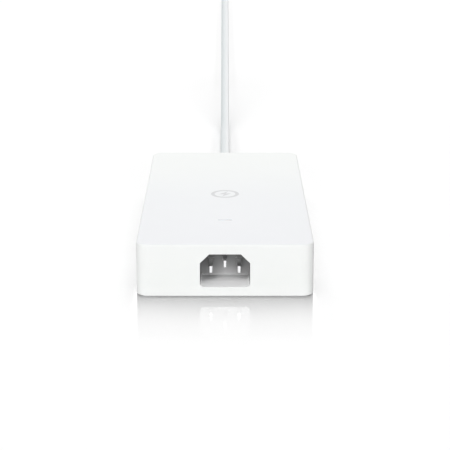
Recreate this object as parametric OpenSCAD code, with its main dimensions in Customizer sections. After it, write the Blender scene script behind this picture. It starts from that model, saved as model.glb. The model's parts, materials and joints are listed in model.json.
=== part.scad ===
// In-line power-over-network injector: slim mains brick with an appliance inlet,
// a data-in jack and a captive output lead that ends in an 8-way modular plug.
// Origin: centre of the casing footprint on the table. Inlet faces -Y, lead leaves +Y.

/* [Casing] */
// Casing width, X
body_w = 87; // [86:1:96]
// Casing length, Y
body_l = 183; // [180:1:200]
// Casing height without the feet
body_h = 26.4; // [26.4:0.2:30]
// Plan corner radius
corner_r = 6; // [4:0.5:8]
// Rounding of the top edge
edge_r = 1.2; // [0.8:0.1:1.6]
// Wall thickness
wall = 2; // [1.8:0.1:2.2]
// How far the feet stand proud
foot_h = 0.6; // [0.6:0.1:1.5]
// Foot diameter
foot_d = 10; // [8:0.5:12]

/* [Mains inlet] */
// Opening width
inlet_w = 24.5; // [24:0.1:25]
// Opening height
inlet_h = 16.6; // [16.4:0.1:17]
// Corner cut beside the earth pin
inlet_cut = 4.5; // [4:0.1:5]
// Cavity depth from the casing front
inlet_depth = 18; // [17:0.5:19]
// Centre distance of the outer pins
pin_pitch = 14; // [13.8:0.1:14.2]

/* [Output lead] */
// Jacket diameter
lead_d = 5.8; // [5.6:0.1:6.4]
// Length of the strain relief outside the casing
boot_l = 25; // [20:1:30]
// Distance from the casing back to the bend of the lead
bend_y = 165; // [150:5:200]
// Straight length of lead beyond the bend
far_l = 215; // [120:5:220]
// Rise of the far part at rest, degrees
rise = 21.5; // [10:0.5:24]

/* [Marks] */
// Outer diameter of the top mark
mark_d = 15.2; // [12:0.2:18]
// Length of the status light window
light_l = 7.6; // [6:0.2:9]

/* [Hidden] */
$fn = 48;

z0 = foot_h;                 // underside of the casing
z1 = foot_h + body_h;        // top face
yf = -body_l / 2;            // front face
yb = body_l / 2;             // back face
zi = z1 - wall;              // ceiling of the inside
cover_t = 2;
zc = z0 + cover_t;           // upper face of the cover
zb = 6.0;                    // board underside
zt = zb + 1.6;               // board top
boss_x = body_w / 2 - 9;
boss_y = body_l / 2 - 11;
in_z = z0 + 4.6;             // floor of the inlet opening
exit_z = 13.8;               // height of the lead at the back
lead_r = lead_d / 2;
rest_z = lead_r + 0.1;       // axis height of the lead on the table
gap = 1.6;                   // half gap of the lead's two flex points
p1 = yb + boot_l + gap;      // first flex point
dn = yb + 95;                // where the lead comes down to the table
p2 = yb + bend_y;            // second flex point
fall = atan((exit_z - rest_z) / (dn - p1));
fall_l = (exit_z - rest_z) / sin(fall);
jack_x = -22;
light_y = yf + 41;
mark_y = -1.5;

// ---- shared shapes ----

module rrect(w, l, r) {
    square([w - 2 * r, l], center = true);
    square([w, l - 2 * r], center = true);
    for (x = [-1, 1], y = [-1, 1])
        translate([x * (w / 2 - r), y * (l / 2 - r)]) circle(r);
}

module pill(l, w) {
    square([l - w, w], center = true);
    for (x = [-1, 1]) translate([x * (l - w) / 2, 0]) circle(w / 2);
}

// inlet outline, floor at y = 0, grown by g
module inlet_outline(g = 0) {
    w = inlet_w / 2 + g; h = inlet_h + g; c = inlet_cut + 0.41 * g; r = 1.5;
    polygon([[-w + r, -g], [w - r, -g], [w, -g + r], [w, h - c], [w - c, h],
             [-w + c, h], [-w, h - c], [-w, -g + r]]);
    for (x = [-1, 1]) translate([x * (w - r), -g + r]) circle(r);
}

// prism standing on the back of the plane y = y, running towards +Y
module yprism(y, len) {
    translate([0, y + len, 0]) rotate([90, 0, 0]) linear_extrude(len) children();
}

module ycyl(r, y, len) {
    translate([0, y, 0]) rotate([-90, 0, 0]) cylinder(r = r, h = len);
}

module corners(x, y) {
    for (i = [-1, 1], j = [-1, 1]) translate([i * x, j * y, 0]) children();
}

module block(cx, cy, z, sx, sy, sz) {
    translate([cx - sx / 2, cy - sy / 2, z]) cube([sx, sy, sz]);
}

// round wire turns on a ring core
module ring_turns(rr, tr, wr, angles) {
    for (a = angles) rotate([0, 0, a]) translate([rr, 0, 0]) rotate([90, 0, 0])
        rotate_extrude() translate([tr, 0]) circle(wr);
}

module ring_core(rr, half, h) {
    translate([0, 0, -h / 2]) linear_extrude(h) difference() {
        circle(rr + half);
        circle(rr - half);
    }
}

module can(r, l) {          // capacitor can lying along +Y with a crimp groove
    ycyl(r, 0, 3);
    ycyl(r - 0.5, 3, 1.2);
    ycyl(r, 4.2, l - 4.2);
}

module tab_transistor() {   // tab plate in the YZ plane, body towards -X
    translate([-1.3, -5, 0]) cube([1.3, 10, 13.4]);
    translate([-4.5, -5, 0]) cube([3.2, 10, 9]);
}

// ---- casing ----

module outer_form() {
    translate([0, 0, z0]) linear_extrude(body_h - edge_r) rrect(body_w, body_l, corner_r);
    translate([0, 0, z1 - edge_r]) linear_extrude(edge_r)
        rrect(body_w - 2 * edge_r, body_l - 2 * edge_r, corner_r - edge_r);
    for (s = [-1, 1]) {
        translate([s * (body_w / 2 - edge_r), -(body_l / 2 - corner_r), z1 - edge_r])
            rotate([-90, 0, 0]) cylinder(r = edge_r, h = body_l - 2 * corner_r);
        translate([-(body_w / 2 - corner_r), s * (body_l / 2 - edge_r), z1 - edge_r])
            rotate([0, 90, 0]) cylinder(r = edge_r, h = body_w - 2 * corner_r);
    }
    corners(body_w / 2 - corner_r, body_l / 2 - corner_r)
        translate([0, 0, z1 - edge_r]) rotate_extrude()
            translate([corner_r - edge_r, 0]) circle(edge_r);
}

module mark_outline(g = 0) {
    difference() {
        circle(mark_d / 2 + g);
        circle(mark_d / 2 - 1.9 - g);
    }
    polygon([[1.6, 5.1], [-3.4, -0.7], [-0.5, -0.7], [-1.6, -5.1], [3.4, 0.9], [0.5, 0.9]]);
}

module upper_shell() {
    color([0.96, 0.965, 0.965]) difference() {
        union() {
            difference() {
                outer_form();
                translate([0, 0, z0 - 1]) linear_extrude(zi - z0 + 1)
                    rrect(body_w - 2 * wall, body_l - 2 * wall, corner_r - wall);
            }
            corners(boss_x, boss_y) translate([0, 0, zc + 1.5])
                cylinder(r = 3.5, h = zi - zc - 1);
        }
        corners(boss_x, boss_y) translate([0, 0, zc]) cylinder(r = 1.5, h = 13);
        translate([0, 0, in_z]) yprism(yf - 1, wall + 2) inlet_outline();
        translate([jack_x - 8.4, yb - wall - 1, zt - 0.2]) cube([16.8, wall + 2, 14.2]);
        translate([0, 0, exit_z]) ycyl(4.5, yb - wall - 1, wall + 2);
        translate([0, light_y, zi - 1]) linear_extrude(wall + 2) pill(light_l, 1.6);
        translate([0, mark_y, z1 - 0.4]) linear_extrude(1) mark_outline();
    }
}

module bottom_cover() {
    w = body_w - 2 * wall - 0.6; l = body_l - 2 * wall - 0.6;
    color([0.94, 0.945, 0.95]) difference() {
        union() {
            translate([0, 0, z0]) linear_extrude(cover_t) rrect(w, l, corner_r - wall - 0.3);
            corners(boss_x, boss_y) translate([0, 0, zc - 0.2]) cylinder(r = 4.5, h = 1.7);
            for (x = [-36, 36], y = [-58, 66])
                translate([x, y, zc - 0.2]) cylinder(r = 2.6, h = zb - zc + 0.2);
        }
        corners(boss_x, boss_y) {
            translate([0, 0, z0 - 1]) cylinder(d = foot_d + 0.2, h = 1.6);
            translate([0, 0, z0]) cylinder(r = 2.8, h = 2.1);
            translate([0, 0, z0]) cylinder(r = 1.6, h = 5);
        }
        for (x = [-36, 36], y = [-58, 66])
            translate([x, y, z0 + 1.2]) cylinder(r = 1.25, h = 6);
    }
}

module rubber_feet() {
    color([0.87, 0.875, 0.88]) corners(boss_x, boss_y) cylinder(d = foot_d, h = z0 + 0.6);
}

module cover_screws() {
    color([0.72, 0.72, 0.74]) corners(boss_x, boss_y) difference() {
        union() {
            translate([0, 0, z0 + 0.7]) cylinder(r = 2.6, h = 1.4);
            translate([0, 0, z0 + 2]) cylinder(r = 1.45, h = 11);
        }
        translate([-1.5, -0.3, z0]) cube([3, 0.6, 1.4]);
        translate([-0.3, -1.5, z0]) cube([0.6, 3, 1.4]);
    }
}

module top_mark() {
    color([0.87, 0.87, 0.88]) translate([0, mark_y, z1 - 0.4]) linear_extrude(0.4) mark_outline(-0.03);
}

module status_light_lens() {
    color([0.9, 0.92, 0.93]) {
        translate([0, light_y, zi]) linear_extrude(wall) pill(light_l - 0.1, 1.5);
        translate([0, light_y, zi - 1.2]) linear_extrude(1.2) pill(light_l + 1.6, 3.2);
        translate([0, light_y, zt + 2.4]) cylinder(r = 1.4, h = zi - zt - 3);
    }
}

module status_led() {
    color([0.95, 0.95, 0.85]) {
        block(0, light_y, zt, 3.2, 2.8, 1.5);
        translate([0, light_y, zt + 1.4]) cylinder(r = 1.1, h = 0.7);
    }
}

// ---- mains inlet ----

module inlet_housing() {
    color([0.42, 0.43, 0.43]) difference() {
        union() {
            translate([0, 0, in_z]) yprism(yf + wall, inlet_depth - wall + 5) inlet_outline(1.3);
            translate([-16.5, yf + wall, in_z - 1.3]) cube([33, 2, inlet_h + 2.6]);
        }
        translate([0, 0, in_z]) yprism(yf, inlet_depth) inlet_outline();
        for (x = [-1, 1]) translate([x * pin_pitch / 2, 0, in_z + 7])
            translate([-1, yf, -2]) cube([2, 40, 4]);
        translate([-1, yf, in_z + 9]) cube([2, 40, 4]);
    }
}

module inlet_pin(tip) {
    // blade with a pointed tip, in the YZ plane, 2 mm thick
    rotate([90, 0, 90]) translate([0, 0, -1]) linear_extrude(2)
        polygon([[tip, -1.2], [tip + 1.2, -2], [yf + inlet_depth + 7, -2],
                 [yf + inlet_depth + 12, -1.6], [yf + inlet_depth + 12, 1.6],
                 [yf + inlet_depth + 7, 2], [tip + 1.2, 2], [tip, 1.2]]);
}

module line_pin() {
    color([0.86, 0.86, 0.87]) translate([-pin_pitch / 2, 0, in_z + 7]) inlet_pin(yf + 6);
}

module neutral_pin() {
    color([0.86, 0.86, 0.87]) translate([pin_pitch / 2, 0, in_z + 7]) inlet_pin(yf + 6);
}

module earth_pin() {
    color([0.86, 0.86, 0.87]) translate([0, 0, in_z + 11]) inlet_pin(yf + 2.5);
}

module inlet_wire(x, z) {
    y = yf + inlet_depth + 12;
    translate([x, 0, z]) ycyl(1.4, y, 4.5);
    translate([x, y + 3.1, zt]) cylinder(r = 1.3, h = z - zt);
}

module inlet_wires() {
    color([0.35, 0.5, 0.3]) {
        inlet_wire(-pin_pitch / 2, in_z + 7);
        inlet_wire(pin_pitch / 2, in_z + 7);
        inlet_wire(0, in_z + 11);
    }
}

// ---- board and power stage ----

module main_board() {
    color([0.1, 0.35, 0.2]) difference() {
        union() {
            translate([-39.5, -64, zb]) cube([79, 136, 1.6]);
            translate([-30.4, 71, zb]) cube([60.8, yb - 2.6 - 71, 1.6]);
        }
        for (x = [-36, 36], y = [-58, 66])
            translate([x, y, zb - 1]) cylinder(r = 1.35, h = 4);
    }
}

module board_screws() {
    color([0.7, 0.7, 0.72]) for (x = [-36, 36], y = [-58, 66]) translate([x, y, 0]) {
        translate([0, 0, zt]) cylinder(r = 2.2, h = 1.5);
        translate([0, 0, z0 + 1.6]) cylinder(r = 1.2, h = zt - z0 - 1);
    }
}

module fuse() {
    color([0.8, 0.8, 0.75]) translate([-22, -56, zt + 3.4]) rotate([0, 90, 0]) {
        translate([0, 0, -9]) cylinder(r = 2.9, h = 4);
        translate([0, 0, -6]) cylinder(r = 2.5, h = 12);
        translate([0, 0, 5]) cylinder(r = 2.9, h = 4);
    }
    color([0.8, 0.8, 0.75]) for (x = [-1, 1]) block(-22 + x * 7, -56, zt, 2, 4, 1);
}

module varistor() {
    color([0.15, 0.3, 0.6]) {
        translate([24, 0, zt + 7]) ycyl(5, -58, 3.6);
        for (x = [-2.5, 2.5]) translate([24 + x, -56.2, zt]) cylinder(r = 0.4, h = 4);
    }
}

module choke_core() {
    color([0.25, 0.25, 0.26]) translate([-26, -38, zt + 5.4]) ring_core(7.5, 1.9, 6);
}

module choke_windings() {
    color([0.72, 0.42, 0.2]) translate([-26, -38, zt + 5.4]) {
        ring_turns(7.5, 4.3, 0.55, [for (a = [-52 : 26 : 52]) a]);
        ring_turns(7.5, 4.3, 0.55, [for (a = [-52 : 26 : 52]) a + 180]);
    }
}

module x_capacitor() {
    color([0.85, 0.7, 0.15]) block(28, -44, zt, 18, 9, 14);
}

module bridge_rectifier() {
    color([0.12, 0.12, 0.13]) {
        block(5, -40, zt + 2, 15, 4, 11);
        for (i = [-1.5 : 1 : 1.5]) block(5 + i * 3.8, -40, zt, 1, 0.8, 2.5);
    }
}

module bulk_capacitors() {
    color([0.16, 0.17, 0.24]) for (x = [-27, -9.5])
        translate([x, -23, zt + 8.3]) can(8, 27);
}

module power_transistor() {
    color([0.13, 0.13, 0.14]) translate([36, -14, zt]) tab_transistor();
}

module primary_heatsink() {
    color([0.75, 0.76, 0.78]) {
        block(37.3, -14, zt, 2.6, 40, zi - 2 - zt);
        block(31.8, -14, zi - 3.5, 13.6, 40, 1.5);
        for (y = [-32 : 4 : 4]) if (y < -20 || y > -8) block(35, y, zt + 1, 3, 1.2, 10);
    }
}

module thermal_pad() {
    color([0.6, 0.65, 0.7]) block(31.8, -14, zi - 2, 13.6, 38, 2);
}

module pwm_controller() {
    color([0.12, 0.12, 0.13]) {
        block(14, -16, zt + 0.2, 5, 6.2, 1.6);
        for (s = [-1, 1], i = [-1.5 : 1 : 1.5]) block(14 + s * 2.9, -16 + i * 1.4, zt, 1.4, 0.5, 0.5);
    }
}

module transformer_core() {
    color([0.22, 0.22, 0.23]) difference() {
        block(4, 22, zt + 0.4, 31, 12, 16.4);
        for (s = [-1, 1]) block(4 + s * 8.6, 22, zt + 3.4, 7.8, 14, 10.4);
    }
}

module transformer_bobbin() {
    color([0.1, 0.1, 0.12]) difference() {
        union() {
            for (z = [zt + 3.5, zt + 12.9]) block(4, 22, z, 24.6, 26, 0.8);
            block(4, 22, zt + 3.6, 10.9, 13.6, 9.8);
        }
        block(4, 22, zt, 9.5, 12.1, 18);
    }
    color([0.1, 0.1, 0.12]) for (y = [10.5, 33.5], i = [-2 : 2]) block(4 + i * 5, y, zt, 1, 1, 3.7);
}

module transformer_winding() {
    color([0.8, 0.65, 0.2]) difference() {
        block(4, 22, zt + 4.4, 24, 25, 8.4);
        block(4, 22, zt, 11, 13.7, 18);
    }
}

module y_capacitor() {
    color([0.2, 0.4, 0.7]) {
        translate([29, 0, zt + 5.5]) ycyl(4, 18, 3);
        for (x = [-3, 3]) translate([29 + x, 19.5, zt]) cylinder(r = 0.4, h = 3.5);
    }
}

module optocoupler() {
    color([0.9, 0.9, 0.88]) {
        block(29, 30, zt + 0.4, 6.4, 4.6, 3.2);
        for (x = [-3.6, 3.6], y = [-1.3, 1.3]) block(29 + x, 30 + y, zt, 1, 0.8, 1.4);
    }
}

module secondary_heatsink() {
    color([0.75, 0.76, 0.78]) {
        block(-37.3, 34, zt, 2.6, 40, 13);
        for (y = [16 : 4 : 52]) if (y < 28 || y > 44) block(-35, y, zt + 1, 3, 1.2, 10);
    }
}

module output_rectifier() {
    color([0.13, 0.13, 0.14]) translate([-36, 36, zt]) mirror([1, 0, 0]) tab_transistor();
}

module output_capacitors() {
    color([0.13, 0.2, 0.18]) for (p = [[28, 44], [28, 56], [16, 50]])
        translate([p[0], p[1], zt]) {
            cylinder(r = 5, h = 2);
            cylinder(r = 4.6, h = 3);
            translate([0, 0, 2.8]) cylinder(r = 5, h = 12.7);
        }
}

module output_choke_core() {
    color([0.75, 0.7, 0.2]) translate([-14, 47, zt + 4.7]) ring_core(5.6, 1.5, 5);
}

module output_choke_winding() {
    color([0.75, 0.45, 0.2]) translate([-14, 47, zt + 4.7])
        ring_turns(5.6, 3.6, 0.6, [for (a = [-140 : 35 : 140]) a]);
}

module poe_controller() {
    color([0.12, 0.12, 0.13]) block(-20, 62.5, zt, 6, 6, 0.9);
}

module data_transformer() {
    color([0.14, 0.14, 0.15]) {
        block(6, 63, zt + 0.3, 15, 9, 5.6);
        for (s = [-1, 1], i = [-3 : 3]) block(6 + i * 1.9, 63 + s * 5, zt, 0.8, 1.6, 1);
    }
}

module insulation_sheet() {
    color([0.9, 0.88, 0.8]) block(0, 0, zc, 58, 150, 0.35);
}

// ---- data-in jack ----

module jack_shield() {
    color([0.78, 0.79, 0.8]) difference() {
        block(jack_x, yb - 11, zt, 16.2, 21.4, 13.6);
        block(jack_x, yb - 10, zt + 0.4, 15.4, 21.4, 12.8);
    }
}

module jack_insert() {
    color([0.12, 0.12, 0.13]) difference() {
        block(jack_x, yb - 10.6, zt + 0.5, 15.2, 20, 12.6);
        // plug cavity, with a step below for the latch
        block(jack_x, yb - 5, zt + 4.4, 12, 18, 7);
        block(jack_x, yb - 5, zt + 2.6, 6.4, 18, 2.4);
        block(jack_x, yb - 5, zt + 1.2, 3.6, 18, 2);
        for (i = [-3.5 : 1 : 3.5]) block(jack_x + i * 1.02, yb - 9, zt + 11.2, 0.5, 16.4, 1.2);
    }
}

module jack_contacts() {
    // eight sprung wires, hanging from the roof of the cavity towards the back
    color([0.85, 0.7, 0.3]) for (i = [-3.5 : 1 : 3.5])
        translate([jack_x + i * 1.02, yb - 3.4, zt + 11.6]) rotate([0, 90, 0])
            translate([0, 0, -0.18]) linear_extrude(0.36)
                polygon([[0, 0], [0.4, 0], [3.1, -9], [2.7, -9.2]]);
}

// ---- lead inside and at the back of the casing ----

module output_header() {
    color([0.92, 0.92, 0.9]) block(0, 76, zt, 14, 5, 8);
}

module lead_wires() {
    color([0.85, 0.5, 0.2]) for (x = [-1.15, 1.15], z = [-1.15, 1.15])
        translate([x, 0, exit_z + z]) ycyl(0.9, 78.5, yb - 84.5);
}

module lead_entry() {
    color([0.9, 0.91, 0.92]) {
        translate([0, 0, exit_z]) ycyl(lead_r, yb - 6, p1 - gap - (yb - 6));
        translate([0, p1, exit_z]) sphere(r = lead_r - 0.2);
        translate([0, 0, exit_z]) ycyl(lead_r - 0.7, p1 - gap - 1, gap + 1);
    }
}

module lead_boot() {
    n = 6; s = (boot_l - 7) / n;
    color([0.93, 0.935, 0.94]) difference() {
        translate([0, 0, exit_z]) union() {
            ycyl(6.2, yb - wall - 2, 2);
            ycyl(4.45, yb - wall - 1, wall + 1.6);
            translate([0, yb + 0.1, 0]) rotate([-90, 0, 0])
                cylinder(r1 = 5.6, r2 = 5.1, h = 4);
            for (i = [0 : n - 1]) {
                translate([0, yb + 4 + i * s, 0]) rotate([-90, 0, 0])
                    cylinder(r = 4.15 - i * 0.1, h = s / 2 + 0.1);
                translate([0, yb + 4 + (i + 0.5) * s, 0]) rotate([-90, 0, 0])
                    cylinder(r = 4.9 - i * 0.15, h = s / 2);
            }
            ycyl(3.75, yb + boot_l - 3, 3);
        }
        translate([0, 0, exit_z]) ycyl(lead_r + 0.04, yb - 9, boot_l + 20);
    }
}

// ---- the two free stretches of the lead ----

module near_path(r, a) {
    // from the first flex point down to the table, then along it
    translate([0, p1, exit_z]) rotate([-fall, 0, 0]) ycyl(r, a, fall_l - a);
    translate([0, 0, rest_z]) ycyl(r, dn, p2 - gap - dn);
}

module lead_near() {
    color([0.9, 0.91, 0.92]) {
        difference() {
            union() {
                near_path(lead_r, gap);
                translate([0, dn, rest_z]) sphere(r = lead_r + 0.05);
            }
            translate([0, p1, exit_z]) sphere(r = lead_r - 0.1);
            translate([0, p1, exit_z]) rotate([-fall, 0, 0]) ycyl(lead_r - 0.7, 0, fall_l + 0.2);
            translate([0, 0, rest_z]) ycyl(lead_r - 0.7, dn - 0.3, p2 - 5 - dn);
        }
        translate([0, p2, rest_z]) sphere(r = lead_r - 0.2);
        translate([0, 0, rest_z]) ycyl(lead_r - 0.7, p2 - gap - 1, gap + 1);
    }
}

module pairs(y, len) {
    for (x = [-0.9, 0.9], z = [-0.9, 0.9]) translate([x, 0, z]) ycyl(0.8, y, len);
}

module pairs_near() {
    color([0.85, 0.5, 0.2]) {
        translate([0, p1, exit_z]) rotate([-fall, 0, 0]) pairs(5, fall_l - 7);
        translate([0, 0, rest_z]) pairs(dn + 2, p2 - 5.5 - dn - 2);
    }
}

module at_far() { translate([0, p2, rest_z]) rotate([rise, 0, 0]) children(); }
module at_plug() { at_far() translate([0, far_l, 0]) children(); }

module lead_far() {
    color([0.9, 0.91, 0.92]) at_far() difference() {
        ycyl(lead_r, gap, far_l - gap);
        sphere(r = lead_r - 0.1);
        ycyl(lead_r - 0.7, 4.5, far_l);
    }
}

module pairs_far() {
    // four pairs, fanned out to eight cores side by side inside the plug
    color([0.85, 0.5, 0.2]) {
        at_far() pairs(5, far_l + 2.9);
        at_plug() for (i = [-3.5 : 1 : 3.5]) translate([i * 1.02, 0, -0.5]) ycyl(0.42, 8.3, 11.4);
    }
}

module plug_boot() {
    color([0.9, 0.91, 0.92]) at_plug() difference() {
        union() {
            translate([0, -14, 0]) rotate([-90, 0, 0]) cylinder(r1 = 3.9, r2 = 4.4, h = 15);
            translate([-5.2, 1, -3.1]) cube([10.4, 3, 6.2]);
            translate([-4.5, 3.9, -2.4]) cube([9, 4, 4.8]);
        }
        ycyl(lead_r + 0.04, -20, 20.01);
        ycyl(2.3, -1, 20);
    }
}

module plug_body() {
    color([0.85, 0.88, 0.9, 0.5]) at_plug() difference() {
        union() {
            translate([-5.85, 4.1, -3.3]) cube([11.7, 21.5, 6.6]);
            translate([-3.2, 23.1, 3.2]) cube([6.4, 2.5, 1.6]);
        }
        translate([-4.6, 3.9, -2.5]) cube([9.2, 4.3, 5]);
        translate([-4.3, 8, -1.3]) cube([8.6, 12, 2.7]);
        for (i = [-3.5 : 1 : 3.5]) translate([i * 1.02 - 0.2, 19, -3.5]) cube([0.4, 7, 2.6]);
        // round seat of the latch root
        translate([-4, 23.1, 4.05]) rotate([0, 90, 0]) cylinder(r = 0.62, h = 8);
    }
}

module plug_contacts() {
    color([0.85, 0.7, 0.3]) at_plug() for (i = [-3.5 : 1 : 3.5])
        translate([i * 1.02 - 0.17, 19.3, -3.1]) cube([0.34, 5.6, 2.1]);
}

module plug_latch() {
    color([0.85, 0.88, 0.9, 0.5]) at_plug() translate([0, 23.1, 4.05]) {
        translate([-3.1, 0, 0]) rotate([0, 90, 0]) cylinder(r = 0.55, h = 6.2);
        rotate([-10, 0, 0]) {
            translate([-2.9, -7, -0.45]) cube([5.8, 7, 0.9]);
            translate([-1.6, -19, -0.4]) cube([3.2, 12.5, 0.8]);
        }
    }
}

upper_shell();
bottom_cover();
rubber_feet();
cover_screws();
top_mark();
status_light_lens();
status_led();
inlet_housing();
line_pin();
neutral_pin();
earth_pin();
inlet_wires();
main_board();
board_screws();
fuse();
varistor();
choke_core();
choke_windings();
x_capacitor();
bridge_rectifier();
bulk_capacitors();
power_transistor();
primary_heatsink();
thermal_pad();
pwm_controller();
transformer_core();
transformer_bobbin();
transformer_winding();
y_capacitor();
optocoupler();
secondary_heatsink();
output_rectifier();
output_capacitors();
output_choke_core();
output_choke_winding();
poe_controller();
data_transformer();
insulation_sheet();
jack_shield();
jack_insert();
jack_contacts();
output_header();
lead_wires();
lead_entry();
lead_boot();
lead_near();
pairs_near();
lead_far();
pairs_far();
plug_boot();
plug_body();
plug_contacts();
plug_latch();
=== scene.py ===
"""A flat white power adapter on a glossy table, with a fixed output lead and a modular plug.

The casing is centred on x = y = 0 with its length along Y. The mains inlet is in the front
face (-Y), the data jack and the lead leave the back face (+Y), and the table is at z = 0.
The lead comes down to the table and rises again to the plug at its far end.
Meshes are written in millimetres and scaled to metres. Shader and stage values are in metres.
"""
import json
import math
import random

import bmesh
import bpy
from mathutils import Matrix, Vector


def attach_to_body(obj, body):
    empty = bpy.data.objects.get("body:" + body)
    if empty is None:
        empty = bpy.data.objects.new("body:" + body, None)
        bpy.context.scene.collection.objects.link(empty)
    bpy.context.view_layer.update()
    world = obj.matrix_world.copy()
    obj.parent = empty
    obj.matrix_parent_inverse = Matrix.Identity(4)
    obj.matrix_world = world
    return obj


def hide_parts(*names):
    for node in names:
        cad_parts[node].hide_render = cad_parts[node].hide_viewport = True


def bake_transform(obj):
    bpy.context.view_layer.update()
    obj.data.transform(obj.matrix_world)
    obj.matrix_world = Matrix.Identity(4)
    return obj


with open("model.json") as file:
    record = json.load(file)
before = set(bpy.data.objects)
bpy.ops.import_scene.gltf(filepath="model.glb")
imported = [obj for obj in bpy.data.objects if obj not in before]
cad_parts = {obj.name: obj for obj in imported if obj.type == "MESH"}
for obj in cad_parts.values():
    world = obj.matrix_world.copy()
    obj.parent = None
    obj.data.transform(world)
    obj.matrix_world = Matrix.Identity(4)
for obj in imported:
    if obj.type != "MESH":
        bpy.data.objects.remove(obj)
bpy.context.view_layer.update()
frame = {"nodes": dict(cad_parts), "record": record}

random.seed(7)
scene = bpy.context.scene

# ---------------------------------------------------------------- sizes (mm)
MM = 0.001
WIDTH, LENGTH = 87.0, 183.0
BASE_Z, TOP_Z = 0.6, 27.0
CORNER = 6.0                      # radius of the upright corners
TOP_EDGE = 1.2                    # radius round the top face
WALL = 2.0
FRONT, BACK = -LENGTH / 2, LENGTH / 2
CEILING_Z = TOP_Z - WALL          # inside of the top wall
LENS_Y, MARK_Y = -50.5, -1.5      # on the top face
FEET = ((34.5, 80.5), (-34.5, 80.5), (-34.5, -80.5), (34.5, -80.5))
FOOT_RADIUS = 5.0

INLET_Z = 5.2                     # floor of the mouth
INLET_HALF = 12.25                # half its width
INLET_HEIGHT = 16.72
INLET_MID = 8.3                   # centre line above the floor
INLET_DEPTH = 18.0                # front face to the back of the cavity
PIN_PLACES = ((-7, INLET_Z + 7), (7, INLET_Z + 7), (0, INLET_Z + 11))   # line, neutral, earth

JACK_X, JACK_Z = -22.0, 7.6       # centre line and underside
JACK_MID_Z = JACK_Z + 6.8
CONTACT_PITCH = 1.02
CONTACTS = [(i - 3.5) * CONTACT_PITCH for i in range(8)]

LEAD_RADIUS = 2.9
LEAD_Z = 13.8                     # centre line where it leaves the casing
REST_Z = 3.0                      # centre line on the table
DROP_Y = 118.1                    # where it starts to come down
REST_Y = 186.5                    # where it lies on the table
RISE_Y = 256.5                    # where it lifts off again
SEAM_Y = RISE_Y - 40.0            # where the two jacket pieces meet
RISE = math.radians(21.5)
FAR_LENGTH = 215.0                # from the lift to the plug


# ---------------------------------------------------------------- mesh helpers
def mesh_object(name, verts, faces, finish):
    mesh = bpy.data.meshes.new(name)
    mesh.from_pydata([Vector(vert) * MM for vert in verts], [], faces)
    mesh.update()
    bm = bmesh.new()
    bm.from_mesh(mesh)
    bmesh.ops.recalc_face_normals(bm, faces=bm.faces)
    bm.to_mesh(mesh)
    bm.free()
    piece = bpy.data.objects.new(name, mesh)
    scene.collection.objects.link(piece)
    mesh.materials.append(materials[finish])
    return piece


def remove(piece):
    mesh = piece.data
    bpy.data.objects.remove(piece)
    bpy.data.meshes.remove(mesh)


def bake(piece):
    """Replace the mesh by its modified form."""
    depsgraph = bpy.context.evaluated_depsgraph_get()
    depsgraph.update()
    mesh = bpy.data.meshes.new_from_object(piece.evaluated_get(depsgraph), depsgraph=depsgraph)
    piece.modifiers.clear()
    old = piece.data
    piece.data = mesh
    mesh.name = piece.name
    bpy.data.meshes.remove(old)


def smooth(piece, angle=32):
    piece.data.shade_smooth()
    piece.data.set_sharp_from_angle(angle=math.radians(angle))


def weigh(piece):
    """Lean the normals towards the large faces."""
    modifier = piece.modifiers.new("weigh", "WEIGHTED_NORMAL")
    modifier.mode = "FACE_AREA"
    modifier.weight = 100
    modifier.keep_sharp = True
    bake(piece)


def bevel(piece, width, segments=2):
    modifier = piece.modifiers.new("bevel", "BEVEL")
    modifier.width = width * MM
    modifier.segments = segments
    modifier.limit_method = "ANGLE"
    modifier.angle_limit = math.radians(50)
    modifier.use_clamp_overlap = True
    modifier.miter_outer = "MITER_ARC"
    bake(piece)


def soften(piece, width, angle=30):
    bevel(piece, width)
    smooth(piece, angle)
    weigh(piece)


def boolean(piece, tools, operation="DIFFERENCE"):
    """Cut or unite the tools with the piece, then remove them."""
    for tool in tools:
        modifier = piece.modifiers.new("bool", "BOOLEAN")
        modifier.operation = operation
        modifier.solver = "EXACT"
        modifier.object = tool
        modifier.material_mode = "TRANSFER"
    bake(piece)
    for tool in tools:
        remove(tool)


def join(name, parts):
    bm = bmesh.new()
    slots = []
    for part in parts:
        slot_index = {}
        for i, material in enumerate(part.data.materials):
            if material not in slots:
                slots.append(material)
            slot_index[i] = slots.index(material)
        start = len(bm.faces)
        bm.from_mesh(part.data)
        bm.faces.ensure_lookup_table()
        for face in bm.faces[start:]:
            face.material_index = slot_index.get(face.material_index, 0)
    mesh = bpy.data.meshes.new(name)
    bm.to_mesh(mesh)
    bm.free()
    for material in slots:
        mesh.materials.append(material)
    for part in parts:
        remove(part)
    piece = bpy.data.objects.new(name, mesh)
    scene.collection.objects.link(piece)
    return piece


def rounded_rect(width, length, radius, steps=12, x=0, y=0):
    """Counter-clockwise outline centred on (x, y)."""
    points = []
    for side_x, side_y, start in ((1, 1, 0), (-1, 1, 90), (-1, -1, 180), (1, -1, 270)):
        for i in range(steps + 1):
            angle = math.radians(start + 90 * i / steps)
            points.append((x + side_x * (width / 2 - radius) + radius * math.cos(angle),
                           y + side_y * (length / 2 - radius) + radius * math.sin(angle)))
    return points


def circle(radius, sides, x=0, y=0):
    turns = [2 * math.pi * i / sides for i in range(sides)]
    return [(x + radius * math.cos(turn), y + radius * math.sin(turn)) for turn in turns]


def band(start, end, count):
    """Quads between two rings, given by their first vertex indices."""
    return [(start + i, start + (i + 1) % count, end + (i + 1) % count, end + i)
            for i in range(count)]


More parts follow.
